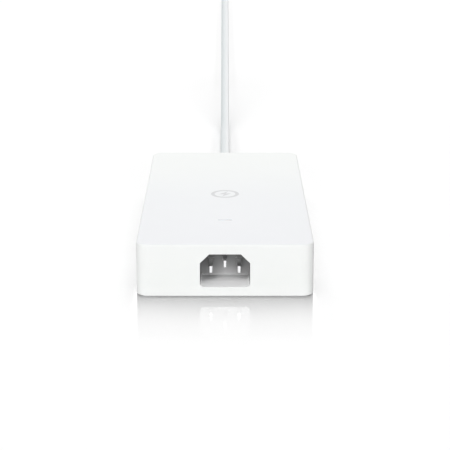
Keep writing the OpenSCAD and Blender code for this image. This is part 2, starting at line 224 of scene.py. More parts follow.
def loft(name, rings, finish, closed=False):
    """Skin over the rings, capped at both ends, or joined last to first if closed."""
    count, total = len(rings[0]), len(rings)
    faces = []
    for j in range(total if closed else total - 1):
        faces += band(j * count, ((j + 1) % total) * count, count)
    if not closed:
        faces.append(tuple(reversed(range(count))))
        faces.append(tuple(range((total - 1) * count, total * count)))
    return mesh_object(name, [point for ring in rings for point in ring], faces, finish)


def prism(name, outline, start, end, axis, finish):
    """Outline across the axis, extruded along it: (x, y) for z, (x, z) for y, (y, z) for x."""
    def place(point, t):
        return {"z": (*point, t), "y": (point[0], t, point[1]), "x": (t, *point)}[axis]
    return loft(name, [[place(point, t) for point in outline] for t in (start, end)], finish)


def box(name, low, high, finish):
    outline = [(low[0], low[1]), (high[0], low[1]), (high[0], high[1]), (low[0], high[1])]
    return prism(name, outline, low[2], high[2], "z", finish)


def lathe(name, profile, finish, sides, closed=False, at=(0, 0, 0)):
    """Profile of (y, radius) turned round an axis along +Y."""
    rings = [[(x, at[1] + y, z) for x, z in circle(radius, sides, at[0], at[2])]
             for y, radius in profile]
    return loft(name, rings, finish, closed)


def lathe_z(name, profile, finish, sides, at):
    """Profile of (z, radius) turned round an upright axis."""
    rings = [[(x, y, z) for x, y in circle(radius, sides, *at)] for z, radius in profile]
    return loft(name, rings, finish)


def cross_rod(name, radius, length, finish, sides, y=0, z=0):
    """Cylinder along X, centred on x = 0."""
    rod = lathe(name, [(0, radius), (length, radius)], finish, sides)
    shift = Matrix.Translation(Vector((-length / 2, y, z)) * MM)
    rod.data.transform(shift @ Matrix.Rotation(math.radians(-90), 4, "Z"))
    return rod


def tangent(path, i):
    ahead, behind = path[min(i + 1, len(path) - 1)], path[max(i - 1, 0)]
    return (Vector(ahead) - Vector(behind)).normalized()


def tube(name, path, radius, sides, finish):
    """Round tube along a path."""
    rings = []
    for i, point in enumerate(path):
        along = tangent(path, i)
        across = Vector((1, 0, 0))
        across = (across - along * across.dot(along)).normalized()
        up = along.cross(across)
        turns = [2 * math.pi * k / sides for k in range(sides)]
        rings.append([tuple(Vector(point) + across * (radius * math.cos(turn))
                            + up * (radius * math.sin(turn))) for turn in turns])
    return loft(name, rings, finish)


def bezier(p0, p1, p2, p3, steps):
    points = []
    for i in range(steps + 1):
        t = i / steps
        s = 1 - t
        points.append(tuple(s ** 3 * a + 3 * s * s * t * b + 3 * s * t * t * c + t ** 3 * d
                            for a, b, c, d in zip(p0, p1, p2, p3)))
    return points


def straight(start, end, step):
    """Points from start to end, no further apart than the step."""
    start, end = Vector(start), Vector(end)
    count = math.ceil((end - start).length / step)
    return [tuple(start.lerp(end, i / count)) for i in range(count + 1)]


def offset_path(path, side, lift):
    """The path moved along x, and upwards across its own direction."""
    points = []
    for i, point in enumerate(path):
        up = Vector((1, 0, 0)).cross(tangent(path, i))
        points.append(tuple(Vector(point) + Vector((side, 0, 0)) + up * lift))
    return points


def attach(piece, body, slot, *nodes):
    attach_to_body(piece, body)
    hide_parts(*nodes)


def attach_bend(piece, bodies, y_range, z, slot, *nodes):
    """Bake the piece's placement into its mesh and hide the given parts."""
    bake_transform(piece)
    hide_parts(*nodes)


# ---------------------------------------------------------------- shader helpers
def rgba(color):
    """Colour with alpha, from a grey level or three channels."""
    if isinstance(color, (int, float)):
        color = (color,) * 3
    return (*color, 1)


class Shader:
    """A node tree, with calls that make a node and hand back its output socket.

    Arguments may be plain values or sockets of other nodes.
    """
    def __init__(self, tree):
        self.tree = tree
        tree.nodes.clear()

    def feed(self, target, value):
        if isinstance(value, bpy.types.NodeSocket):
            self.tree.links.new(value, target)
        else:
            target.default_value = value

    def node(self, kind, **settings):
        node = self.tree.nodes.new(kind)
        for key, value in settings.items():
            if key in node.inputs:
                self.feed(node.inputs[key], value)
            else:
                setattr(node, key, value)
        return node

    def principled(self, values):
        for key, value in values.items():
            self.feed(self.bsdf.inputs[key], value)

    def math(self, operation, a, b=None, clamp=False):
        node = self.node("ShaderNodeMath", operation=operation, use_clamp=clamp)
        self.feed(node.inputs[0], a)
        if b is not None:
            self.feed(node.inputs[1], b)
        return node.outputs[0]

    def add(self, a, b, clamp=False):
        return self.math("ADD", a, b, clamp)

    def sub(self, a, b, clamp=False):
        return self.math("SUBTRACT", a, b, clamp)

    def mul(self, a, b, clamp=False):
        return self.math("MULTIPLY", a, b, clamp)

    def div(self, a, b, clamp=False):
        return self.math("DIVIDE", a, b, clamp)

    def above(self, value, limit):
        return self.math("GREATER_THAN", value, limit)

    def below(self, value, limit):
        return self.math("LESS_THAN", value, limit)

    def absolute(self, value):
        return self.math("ABSOLUTE", value)

    def exp(self, value):
        return self.math("POWER", 2.71828, value)

    def one_minus(self, value):
        return self.sub(1.0, value)

    def span(self, value, start, width):
        """0 at the start, 1 a width further on, clamped. A negative start is added back."""
        if isinstance(start, float) and start < 0:
            shifted = self.add(value, -start)
        else:
            shifted = self.sub(value, start)
        return self.div(shifted, width, clamp=True)

    def tent(self, value, half_width):
        """1 at zero, falling to 0 at the half width on either side."""
        return self.sub(1.0, self.div(self.absolute(value), half_width), clamp=True)

    def to_unit(self, value):
        """-1..1 mapped to 0..1."""
        return self.add(self.mul(value, 0.5), 0.5)

    def ramp(self, factor, stops, interpolation="LINEAR"):
        """Colour ramp from (position, grey or colour) stops."""
        node = self.node("ShaderNodeValToRGB")
        node.color_ramp.interpolation = interpolation
        elements = node.color_ramp.elements
        while len(elements) > 1:
            elements.remove(elements[-1])
        elements[0].position = stops[0][0]
        elements[0].color = rgba(stops[0][1])
        for position, color in stops[1:]:
            elements.new(position).color = rgba(color)
        self.feed(node.inputs[0], factor)
        return node.outputs[0]

    def mix(self, factor, a, b, blend="MIX"):
        node = self.node("ShaderNodeMix", data_type="RGBA", blend_type=blend)
        self.feed(node.inputs[0], factor)
        for index, color in ((6, a), (7, b)):
            is_socket = isinstance(color, bpy.types.NodeSocket)
            self.feed(node.inputs[index], color if is_socket else rgba(color))
        return node.outputs[2]

    def multiply(self, a, b):
        return self.mix(1.0, a, b, "MULTIPLY")

    def mix_shaders(self, factor, first, second):
        node = self.node("ShaderNodeMixShader")
        for target, value in zip(node.inputs, (factor, first.outputs[0], second.outputs[0])):
            self.feed(target, value)
        return node.outputs[0]

    def noise(self, vector, **settings):
        return self.node("ShaderNodeTexNoise", Vector=vector, **settings).outputs[0]

    def bump(self, height, depth, strength=1.0):
        """Normal from a height, with its depth in millimetres."""
        return self.node("ShaderNodeBump", Strength=strength, Distance=depth * MM,
                         Height=height).outputs[0]

    def coords(self, **settings):
        return self.node("ShaderNodeTexCoord", **settings).outputs["Object"]

    def xyz(self, vector):
        return self.node("ShaderNodeSeparateXYZ", Vector=vector).outputs

    def geometry(self, output):
        return self.node("ShaderNodeNewGeometry").outputs[output]

    def light_path(self):
        return self.node("ShaderNodeLightPath").outputs


materials = {}


def new_material(name):
    """Start a principled material, filed under its name."""
    material = bpy.data.materials.new(name)
    material.use_nodes = True
    shader = Shader(material.node_tree)
    shader.output = shader.node("ShaderNodeOutputMaterial").inputs[0]
    shader.bsdf = shader.node("ShaderNodeBsdfPrincipled")
    shader.feed(shader.output, shader.bsdf.outputs[0])
    materials[name] = material
    return shader


# ---------------------------------------------------------------- materials
def surface(name, color, rough=0.35, metallic=0.0, tone_var=0.03, gloss_var=0.06,
            grain=2200.0, grain_depth=0.015, blotch=60.0, wear=0.0, coat=0.0, sheen=0.0,
            stretch=(1, 1, 1), color2=None, sss=0.0, retone=None):
    """Solid finish: blotches vary tone and gloss, a fine grain makes the bump.

    blotch and grain are noise scales, stretch brushes the grain, wear pales the edges, and
    retone(shader, place, tint) may alter the colour before it reaches the surface.
    """
    shader = new_material(name)
    place = shader.coords()
    brushed = shader.node("ShaderNodeMapping", Vector=place, Scale=stretch).outputs[0]
    blotches = shader.noise(place, Scale=blotch, Detail=4.0, Roughness=0.6)
    grains = shader.noise(brushed, Scale=grain, Detail=3.0, Roughness=0.65)
    base = Vector(color)
    dark = [x * (1 - tone_var) for x in base]
    light = color2 or [min(1, x * (1 + tone_var)) for x in base]
    tint = shader.ramp(blotches, [(0.3, dark), (0.7, light)])
    if wear:
        edges = shader.ramp(shader.geometry("Pointiness"), [(0.52, 0), (0.6, 1)])
        worn = shader.mul(edges, shader.mul(blotches, wear))
        tint = shader.mix(worn, tint, [min(1, x * 1.25 + 0.05) for x in base])
    if retone:
        tint = retone(shader, place, tint)
    gloss = shader.add(shader.mul(shader.sub(blotches, 0.5), gloss_var * 2), rough)
    gloss = shader.add(gloss, shader.mul(shader.sub(grains, 0.5), gloss_var), clamp=True)
    shader.principled({
        "Base Color": tint, "Roughness": gloss, "Normal": shader.bump(grains, grain_depth),
        "Metallic": metallic, "Coat Weight": coat, "Coat Roughness": 0.15,
        "Sheen Weight": sheen})
    if sss:
        shader.principled({"Subsurface Weight": sss, "Subsurface Scale": 0.002})


# (normal's x from -1 left to 1 right, as 0..1; painted shade and highlight, as a factor on the
# colour)
CASING_PAINTED_CORNER_SHADE = [(0.0, 0.92), (0.08, 0.985), (0.2, 1.02), (0.45, 1.0), (0.72, 1.0),
                 (0.9, 0.90), (0.97, 0.73), (1.0, 0.68)]
JACKET_PAINTED_SHADING = [(0.0, (0.74, 0.78, 0.79)), (0.22, (0.80, 0.83, 0.84)),
                 (0.5, (0.87, 0.89, 0.895)), (0.66, (0.99, 0.995, 1.0)),
                 (0.85, (1.18, 1.18, 1.185)), (0.93, 1.0), (1.0, 0.8)]
# (front to back of the casing as 0..1; painted light on the top face, as a factor on the
# colour)
TOP_PAINTED_LIGHT = [(0.0, (0.951, 0.953, 0.983)), (0.45, (0.958, 0.964, 0.984)),
             (0.8, (0.995, 1.005, 0.998)), (1.0, (1.0, 1.012, 1.0))]
# (height over the lowest 14 mm as 0..1; painted light on the front face, as a factor on the
# colour)
FRONT_PAINTED_LIGHT = [(0.0, (1.06, 1.065, 1.06)), (0.5, (1.01, 1.02, 1.01)), (1.0, (1.0, 1.006, 1.0))]


def jacket_retone(shader, place, tint):
    """Painted shade and highlight across the round of the lead, darker to the left and paler to
    the right.
    """
    normal_x = shader.xyz(shader.geometry("Normal"))[0]
    return shader.multiply(tint, shader.ramp(shader.to_unit(normal_x), JACKET_PAINTED_SHADING))


def casing_retone(shader, place, tint):
    # painted shade on the rounded front corners only, darkest on the right; the flat sides keep
    # the plain tone
    normal_x, normal_y, _ = shader.xyz(shader.geometry("Normal"))
    corner = shader.ramp(shader.to_unit(normal_x), CASING_PAINTED_CORNER_SHADE)
    facing_front = shader.mul(normal_y, -8.0, clamp=True)
    tint = shader.multiply(tint, shader.mix(facing_front, 1.0, corner))
    # top face, painted darker at the front and lighter to the back
    x, y, z = shader.xyz(place)
    _, normal_y, normal_z = shader.xyz(shader.geometry("Normal"))
    top = shader.ramp(shader.span(y, start=FRONT * MM, width=LENGTH * MM), TOP_PAINTED_LIGHT)
    tint = shader.mix(shader.above(normal_z, 0.8), tint, top, "MULTIPLY")
    # front face, painted lighter low down and a little more below the inlet
    front = shader.ramp(shader.div(z, 0.014, clamp=True), FRONT_PAINTED_LIGHT)
    under_inlet = shader.mul(shader.tent(x, half_width=0.024),
                             shader.span(0.0062, start=z, width=0.001))
    under_inlet_painted_light = 0.012
    front = shader.multiply(front, shader.add(1.0, shader.mul(under_inlet, under_inlet_painted_light)))
    tint = shader.mix(shader.below(normal_y, -0.5), tint, front, "MULTIPLY")
    # painted reflection: glossy rays see a darker casing
    reflected = 0.22
    return shader.mix(shader.light_path()["Is Glossy Ray"], tint, reflected)


# reflections longer than this (m) get a painted glow, in the inlet and on its pins
GLOW_RAY = 0.0135


def pin_retone(shader, place, tint):
    """Painted shade on the flanks, and a little painted light, as emission, on the tips and the
    faces between the flanks.
    """
    tip_light, face_light, reflected_light, flank_shade = 0.1, 0.03, 0.6, 0.5
    path = shader.light_path()
    glow = shader.mul(path["Is Glossy Ray"], shader.above(path["Ray Length"], GLOW_RAY))
    normal_x, normal_y, _ = shader.xyz(shader.geometry("Normal"))
    tip = shader.span(shader.mul(normal_y, -1.0), start=0.6, width=0.3)
    flank = shader.span(shader.absolute(normal_x), start=0.4, width=0.4)
    seen = shader.add(shader.mul(tip, tip_light),
                      shader.mul(shader.one_minus(flank), face_light))
    strength = shader.add(shader.mul(glow, reflected_light),
                          shader.mul(path["Is Camera Ray"], seen))
    shader.principled({"Emission Color": rgba(1), "Emission Strength": strength})
    return shader.multiply(tint, shader.one_minus(shader.mul(flank, flank_shade)))


def clear_plastic(name, tint):
    shader = new_material(name)
    cloud = shader.noise(shader.coords(), Scale=180.0, Detail=3.0)
    rough, rough_var = 0.04, 0.06
    shader.principled({
        "Base Color": shader.ramp(cloud, [(0.3, [x * 0.97 for x in tint]), (0.7, tint)]),
        "Roughness": shader.add(shader.mul(cloud, rough_var), rough),
        "Normal": shader.bump(cloud, depth=0.02, strength=0.6),
        "Transmission Weight": 0.92, "IOR": 1.45})


# Painted shade of the inlet, as (position, value). depth runs 0 at the mouth to 1 at the back,
# up from floor to roof, across from left to right, and off from the middle to either side.
INLET_FLOOR_DEPTH = [(0.0, 0.97), (0.4, 0.96), (1.0, 0.66)]
INLET_WALL_UP = [(0.0, 0.72), (0.3, (0.39, 0.39, 0.395)), (0.5, (0.285, 0.287, 0.288)),
                 (0.6, (0.26, 0.262, 0.262)), (0.9, (0.17, 0.172, 0.171)),
                 (1.0, (0.14, 0.142, 0.141))]
INLET_WALL_OFF = [(0.0, 1.0), (0.5, 0.86), (1.0, 0.55)]
INLET_LOW_ACROSS = [(0.0, 0.9), (0.1, 0.72), (0.2, 0.62), (0.275, 0.72), (0.35, 0.85),
                    (0.5, 1.0), (0.7, 0.95), (0.8, 0.87), (0.9, 0.9), (1.0, 1.0)]
INLET_HIGH_ACROSS = [(0.0, 1.15), (0.15, 1.05), (0.28, 0.87), (0.4, 0.95), (0.5, 1.0),
                     (0.75, 1.05), (0.85, 1.1), (0.9, 1.45), (1.0, 1.8)]
INLET_CORNER_ACROSS = [(0.0, 0.0), (0.08, 0.12), (0.15, 0.27), (0.2, 0.3), (0.285, 0.24),
                       (0.36, 0.1), (0.45, 0.0)]
# how fast the painted light on the floor narrows with depth, left and right of the middle
FAN_LEFT = [(0.2, 0.45), (0.37, 0.6), (0.53, 0.71), (0.7, 1.19), (0.87, 1.67)]
FAN_RIGHT = [(0.0, 0.25), (0.6, 0.25), (0.7, 0.65), (0.87, 0.9)]
FAN_FALLOFF = [(0.0, 1.0), (0.25, 0.98), (0.35, 0.87), (0.45, 0.68), (0.52, 0.48), (0.6, 0.33),
               (0.7, 0.14), (1.0, 0.1)]
FAN_DEPTH = [(0.0, 0.09), (0.12, 0.115), (0.21, 0.09), (0.29, 0.14), (0.37, 0.20), (0.45, 0.24),
             (0.53, 0.215), (0.62, 0.19), (0.7, 0.19), (0.79, 0.13), (0.87, 0.09), (0.93, 0.06),
             (1.0, 0.05)]
FAN_SIDE_BOOST = [(0.05, 0.0), (0.12, 0.06), (0.21, 0.11), (0.29, 0.1), (0.37, 0.06),
                  (0.5, 0.02), (0.6, 0.0)]


def inlet_plastic():
    """Satin moulding, with painted shade: pale at the mouth's floor and darker up and in."""
    shader = new_material("inlet_plastic")
    place = shader.coords()
    x, y, z = shader.xyz(place)
    depth = shader.span(y, start=FRONT * MM, width=INLET_DEPTH * MM)
    up = shader.span(z, start=INLET_Z * MM, width=2 * INLET_MID * MM)
    off = shader.div(shader.absolute(x), INLET_HALF * MM, clamp=True)
    across = shader.span(x, start=-INLET_HALF * MM, width=2 * INLET_HALF * MM)
    normal_z = shader.xyz(shader.geometry("Normal"))[2]
    is_floor = shader.above(normal_z, 0.5)

    # walls, with painted shade for light from the right: the lower left is darker, the upper
    # right end paler
    wall = shader.multiply(shader.ramp(up, INLET_WALL_UP), shader.ramp(off, INLET_WALL_OFF))
    upper_share = shader.div(up, 0.3, clamp=True)
    wall = shader.multiply(wall, shader.mix(upper_share, shader.ramp(across, INLET_LOW_ACROSS),
                                            shader.ramp(across, INLET_HIGH_ACROSS)))
    # floor, with a painted shade in its back left part
    at_back = shader.span(depth, start=0.68, width=0.24)
    corner = shader.mul(at_back, shader.ramp(across, INLET_CORNER_ACROSS))
    floor = shader.multiply(shader.ramp(depth, INLET_FLOOR_DEPTH), shader.one_minus(corner))
    tint = shader.mix(is_floor, wall, floor)
    cloud = shader.noise(place, Scale=150.0, Detail=3.0)
    tint = shader.multiply(tint, shader.ramp(cloud, [(0.3, 0.95), (0.7, 1.0)]))
    rough, rough_var = 0.38, 0.15

    # painted glow in long reflections
    reflected_light = 0.8
    path = shader.light_path()
    far_ray = shader.above(path["Ray Length"], GLOW_RAY)
    glow = shader.mul(shader.mul(path["Is Glossy Ray"], far_ray), reflected_light)
    # painted light on the floor, emitted to the camera only, a fan that widens towards the
    # mouth
    # (the ramps hold half the spread, which is doubled again after them)
    left, right = [shader.ramp(depth, [(position, value * 0.5) for position, value in stops])
                   for stops in (FAN_LEFT, FAN_RIGHT)]
    is_right = shader.above(across, 0.5)
    spread = shader.add(shader.mul(right, is_right),
                        shader.mul(left, shader.one_minus(is_right)))
    fan = shader.ramp(shader.mul(off, shader.mul(spread, 2.0)), FAN_FALLOFF)
    boost = shader.mul(shader.ramp(depth, FAN_SIDE_BOOST), shader.mul(off, off))
    light = shader.add(shader.ramp(depth, FAN_DEPTH), boost)
    light = shader.mul(shader.mul(fan, light), shader.mul(is_floor, path["Is Camera Ray"]))

    grains = shader.noise(place, Scale=2500.0, Detail=2.0)
    shader.principled({
        "Base Color": tint, "Roughness": shader.add(shader.mul(cloud, rough_var), rough),
        "Emission Color": rgba(1), "Emission Strength": shader.add(glow, light),
        "Normal": shader.bump(grains, depth=0.012)})


def make_materials():
    surface("casing_plastic", (0.755, 0.762, 0.758), rough=0.42, tone_var=0.006,
            gloss_var=0.03, grain_depth=0.004, wear=0.15, retone=casing_retone)
    surface("cover_plastic", (0.88, 0.885, 0.88), rough=0.6, tone_var=0.012, grain=1600,
            grain_depth=0.02)
    surface("foot_rubber", (0.78, 0.785, 0.79), rough=0.8, tone_var=0.05, grain=1800,
            grain_depth=0.02, sheen=0.2)
    surface("screw_steel", (0.62, 0.62, 0.64), rough=0.32, metallic=1.0, tone_var=0.08,
            grain=3000, wear=0.6)
    surface("mark_ink", (0.575, 0.578, 0.588), rough=0.5, tone_var=0.015, grain_depth=0.004)
    surface("lens_plastic", (0.60, 0.63, 0.64), rough=0.22, tone_var=0.02, grain_depth=0.002,
            sss=0.3)
    surface("led_epoxy", (0.92, 0.92, 0.80), rough=0.15)
    inlet_plastic()
    surface("pin_plate", (0.80, 0.80, 0.81), rough=0.3, metallic=1.0, gloss_var=0.1,
            grain=4000, grain_depth=0.004, stretch=(1, 0.1, 1), wear=0.4, retone=pin_retone)
    surface("wire_sleeve", (0.70, 0.38, 0.14), tone_var=0.3, blotch=160,
            color2=(0.2, 0.42, 0.62))
    surface("board_laminate", (0.03, 0.20, 0.09), rough=0.3, tone_var=0.25, blotch=220,
            coat=0.5)
    surface("fuse_ceramic", (0.78, 0.76, 0.70), rough=0.45, tone_var=0.06)
    surface("disc_lacquer", (0.06, 0.20, 0.50), rough=0.2, tone_var=0.12, coat=0.4)
    surface("ferrite", (0.10, 0.10, 0.105), rough=0.55, metallic=0.3, tone_var=0.2, grain=900,
            grain_depth=0.05, wear=0.5)
    surface("copper_wire", (0.72, 0.34, 0.13), rough=0.25, metallic=1.0, tone_var=0.12)
    surface("film_box", (0.78, 0.60, 0.08), rough=0.4, tone_var=0.05)
    surface("black_epoxy", (0.035, 0.035, 0.038), rough=0.5, tone_var=0.3, grain=2600,
            grain_depth=0.02)
    surface("can_sleeve", (0.05, 0.07, 0.13), rough=0.25, tone_var=0.2, coat=0.3)
    surface("bare_aluminium", (0.76, 0.77, 0.79), metallic=1.0, tone_var=0.06,
            stretch=(0.05, 1, 1), grain=2400)
    surface("pad_silicone", (0.45, 0.52, 0.60), rough=0.75, tone_var=0.08)
    surface("winding_tape", (0.78, 0.60, 0.10), rough=0.3, tone_var=0.08, coat=0.3)
    surface("white_moulding", (0.84, 0.84, 0.80), rough=0.45)
    surface("sheet_film", (0.82, 0.80, 0.70), tone_var=0.04)
    surface("jack_steel", (0.74, 0.74, 0.75), rough=0.3, metallic=1.0, tone_var=0.06,
            gloss_var=0.12, stretch=(0.08, 1, 1), grain=3500, wear=0.5)
    surface("black_moulding", (0.03, 0.03, 0.032), rough=0.42, tone_var=0.2)
    surface("contact_gold", (0.95, 0.72, 0.32), rough=0.3, metallic=1.0, tone_var=0.06)
    surface("lead_jacket", (0.74, 0.755, 0.76), rough=0.45, tone_var=0.01, grain=1200,
            grain_depth=0.012, sheen=0.1, retone=jacket_retone)
    surface("boot_rubber", (0.73, 0.74, 0.745), rough=0.55, tone_var=0.015, grain=1800,
            grain_depth=0.015, sheen=0.2)
    clear_plastic("plug_clear", (0.93, 0.95, 0.97))


def finish_frame_pieces():
    """Give the loaded pieces their finishes."""
    slot_of = {part["node"]: part["material_slot"] for part in frame["record"]["subparts"]}
    for name, piece in frame["nodes"].items():
        piece.data.materials.clear()
        piece.data.materials.append(materials[slot_of[name]])
        smooth(piece, 30)


# ---------------------------------------------------------------- casing
def inlet_outline(grow=0.0):
    """(x, z) round the mouth: a rectangle with chamfered upper corners, all rounded."""
    half = INLET_HALF + grow
    top = INLET_HEIGHT + grow
    chamfer = 4.5 + 0.41 * grow
    low_radius, high_radius = 1.8, 0.7
    corners = [(-half, -grow, low_radius), (half, -grow, low_radius),
               (half, top - chamfer, high_radius), (half - chamfer, top, high_radius),
               (-half + chamfer, top, high_radius), (-half, top - chamfer, high_radius)]
    points = []
    for i, (x, z, radius) in enumerate(corners):
        corner = Vector((x, z))
        to_last = (Vector(corners[i - 1][:2]) - corner).normalized()
        to_next = (Vector(corners[(i + 1) % len(corners)][:2]) - corner).normalized()
        opening = math.acos(max(-1, min(1, to_last.dot(to_next))))
        reach = radius / math.tan(opening / 2)
        centre = corner + (to_last + to_next).normalized() * (radius / math.sin(opening / 2))
        start = math.atan2(*(corner + to_last * reach - centre).yx)
        end = math.atan2(*(corner + to_next * reach - centre).yx)
        sweep = (end - start + math.pi) % (2 * math.pi) - math.pi
        for j in range(7):
            angle = start + sweep * j / 6
            points.append((centre.x + radius * math.cos(angle),
                           centre.y + radius * math.sin(angle) + INLET_Z))
    return points


def ring(size, inset, z):
    """Rounded rectangle of (width, length, corner radius), inset all round, at a height."""
    width, length, radius = size
    outline = rounded_rect(width - 2 * inset, length - 2 * inset, radius - inset, 14)
    return [(x, y, z) for x, y in outline]


def pill(length, width):
    """Outline of the light window, with round ends."""
    return rounded_rect(length, width, width / 2 - 0.001, 12, 0, LENS_Y)


# (x, y) round the bolt in the face mark, from the mark's centre
BOLT = ((1.6, 5.1), (-3.4, -0.7), (-0.5, -0.7), (-1.6, -5.1), (3.4, 0.9), (0.5, 0.9))


def mark_solids(name, low, high, grow, finish):
    """The mark's ring and bolt, with the ring grown on both edges."""
    disc = prism(name, circle(7.6 + grow, 96, 0, MARK_Y), low, high, "z", finish)
    hole = prism(name + "_hole", circle(5.7 - grow, 96, 0, MARK_Y), low - 1, high + 1, "z",
                 finish)
    boolean(disc, [hole])
    bolt = prism(name + "_bolt", [(x, y + MARK_Y) for x, y in BOLT], low, high, "z", finish)
    return [disc, bolt]


def casing_shell():
    """Box open at the bottom, from outer rings upwards and inner rings downwards."""
    outer_size = (WIDTH, LENGTH, CORNER)
    inner_size = (WIDTH - 2 * WALL, LENGTH - 2 * WALL, CORNER - WALL)
    outer = [ring(outer_size, inset, z) for inset, z in
             ((0.06, BASE_Z), (0.02, BASE_Z + 0.02), (0.0, BASE_Z + 0.06), (0.0, 9.0),
              (0.0, 18.0))]
    for k in range(11):
        angle = math.radians(9 * k)
        outer.append(ring(outer_size, TOP_EDGE * (1 - math.cos(angle)),
                          TOP_Z - TOP_EDGE + TOP_EDGE * math.sin(angle)))
    inner = [ring(inner_size, inset, z) for inset, z in
             ((0.5, CEILING_Z), (0.15, CEILING_Z - 0.15), (0.0, CEILING_Z - 0.5),
              (0.0, BASE_Z + 0.12), (-0.12, BASE_Z))]
    rings = outer + inner
    count, turn = len(rings[0]), len(outer)
    faces = []
    for j in range(len(rings)):
        if j != turn - 1:
            faces += band(j * count, ((j + 1) % len(rings)) * count, count)
    faces.append(tuple(range((turn - 1) * count, turn * count)))
    faces.append(tuple(reversed(range(turn * count, (turn + 1) * count))))
    return mesh_object("casing", [point for row in rings for point in row], faces,
                       "casing_plastic")


def make_casing():
    finish = "casing_plastic"
    casing = casing_shell()
    casing.data.materials.append(materials["inlet_plastic"])
    boolean(casing, [
        prism("cut_inlet", inlet_outline(), FRONT - 3, FRONT + WALL + 1, "y", finish),
        prism("cut_jack", rounded_rect(16.8, 14.2, 0.8, 5, JACK_X, JACK_Z + 6.9),
              BACK - WALL - 1, BACK + 2, "y", finish),
        lathe("cut_boot", [(-WALL - 1, 4.6), (2, 4.6)], finish, 48, at=(0, BACK, LEAD_Z)),
        prism("cut_lens", pill(7.6, 1.6), CEILING_Z - 1, TOP_Z + 1, "z", finish)])
    bevel(casing, 0.14)
    boolean(casing, mark_solids("cut_mark", TOP_Z - 0.4, TOP_Z + 1, 0.02, finish))
    # the inlet's tunnel through the wall takes the inlet's own finish
    for face in casing.data.polygons:
        x, y, z = face.center / MM
        if (FRONT + 0.1 < y < FRONT + WALL + 0.01 and abs(x) < 13
                and INLET_Z - 0.2 < z < INLET_Z + 16.9 and abs(face.normal.y) < 0.7):
            face.material_index = 1
    smooth(casing, 28)
    weigh(casing)
    attach(casing, "housing", finish, "upper_shell")


def make_face_mark():
    """Inlay that fills the casing's recess, a little below the top face."""
    mark = join("face_mark",
                mark_solids("mark_ring", TOP_Z - 0.4, TOP_Z - 0.005, -0.02, "mark_ink"))
    smooth(mark, 30)
    attach(mark, "housing", "mark_ink", "top_mark")


def make_status_window():
    finish = "lens_plastic"
    lens = prism("status_window", pill(7.44, 1.44), CEILING_Z - 1.2, TOP_Z + 0.02, "z", finish)
    bevel(lens, 0.12)
    stem = lathe_z("stem", [(10.0, 1.1), (10.3, 1.4), (CEILING_Z - 0.6, 1.4)], finish, 32,
                   (0, LENS_Y))
    lens = join("status_window", [lens, stem])
    smooth(lens)
    attach(lens, "housing", finish, "status_light_lens")


def make_base_cover():
    """Plate with a rounded rim, foot seats and a shallow blank panel."""
    finish = "cover_plastic"
    gap = 0.3
    size = (WIDTH - 2 * WALL - 2 * gap, LENGTH - 2 * WALL - 2 * gap, CORNER - WALL - gap)
    # (inset, height above the casing's base)
    stations = ((0.25, 0.0), (0.07, 0.07), (0.0, 0.25), (0.0, 2.0))
    cover = loft("base_cover", [ring(size, inset, BASE_Z + up) for inset, up in stations],
                 finish)
    cutters = [prism("cut_panel", rounded_rect(52, 84, 3, 8), BASE_Z - 1, BASE_Z + 0.3, "z",
                     finish)]
    for place in FEET:
        seat = FOOT_RADIUS + 0.12
        cutters.append(lathe_z("cut_seat", [(BASE_Z - 1, seat), (BASE_Z + 0.62, seat)], finish,
                               48, place))
        cutters.append(lathe_z("cut_hole", [(BASE_Z, 2.8), (BASE_Z + 3, 2.8)], finish, 32,
                               place))
    boolean(cover, cutters)
    soften(cover, 0.1)
    attach(cover, "housing", finish, "bottom_cover")


def make_feet():
    profile = [(0.0, 0.01), (0.0, 4.55), (0.06, 4.78), (0.2, 4.94), (0.4, FOOT_RADIUS),
               (1.2, FOOT_RADIUS), (1.2, 0.01)]
    feet = join("foot_pads", [lathe_z("foot", profile, "foot_rubber", 56, place)
                              for place in FEET])
    smooth(feet, 50)
    attach(feet, "housing", "foot_rubber", "rubber_feet")


# ---------------------------------------------------------------- mains inlet
def make_inlet():
    finish = "inlet_plastic"
    mid_z = INLET_Z + INLET_MID
    face = FRONT + WALL + 0.02
    shroud = prism("inlet_shroud", inlet_outline(1.2), face, FRONT + 23, "y", finish)
    flange = prism("flange", rounded_rect(33, 19.2, 1.2, 6, 0, mid_z), face,
                   FRONT + WALL + 2, "y", finish)
    boolean(shroud, [flange], "UNION")
    # cavity, drafted towards a rounded back: (depth behind the front face, inset)
    stations = ((WALL - 1, 0.0), (WALL, 0.0), (17.0, 0.1), (17.45, 0.2), (17.8, 0.45),
                (17.95, 0.75), (INLET_DEPTH, 1.1))
    rings = [[(x * (1 - inset / INLET_HALF), FRONT + depth,
               mid_z + (z - mid_z) * (1 - inset / INLET_MID)) for x, z in inlet_outline()]
             for depth, inset in stations]
    boolean(shroud, [loft("cavity", rings, finish)])
    collars = [prism("collar", rounded_rect(3.4, 5.4, 0.6, 5, x, z), FRONT + 17.0,
                     FRONT + 18.5, "y", finish) for x, z in PIN_PLACES]
    boolean(shroud, collars, "UNION")
    slots = [prism("pin_slot", rounded_rect(2.0, 4.0, 0.12, 3, x, z), FRONT + 14,
                   FRONT + 30, "y", finish) for x, z in PIN_PLACES]
    boolean(shroud, slots)
    soften(shroud, 0.12)
    attach(shroud, "housing", finish, "inlet_housing")


def make_pin(name, place, tip_depth, node):
    """Flat blade with a tapered tip."""
    x, z = place
    tip = FRONT + tip_depth
    # (y, width, height)
    stations = ((tip, 1.2, 3.35), (tip + 0.12, 1.36, 3.6), (tip + 0.7, 1.8, 3.85),
                (tip + 1.4, 1.98, 3.98), (FRONT + 25, 1.98, 3.98), (FRONT + 25.5, 1.9, 3.6),
                (FRONT + 30, 1.9, 3.2))
    rings = [[(x + dx, y, z + dz) for dx, dz in rounded_rect(width, height, width * 0.16, 4)]
             for y, width, height in stations]
    blade = loft(name, rings, "pin_plate")
    smooth(blade, 35)
    attach(blade, "housing", "pin_plate", node)


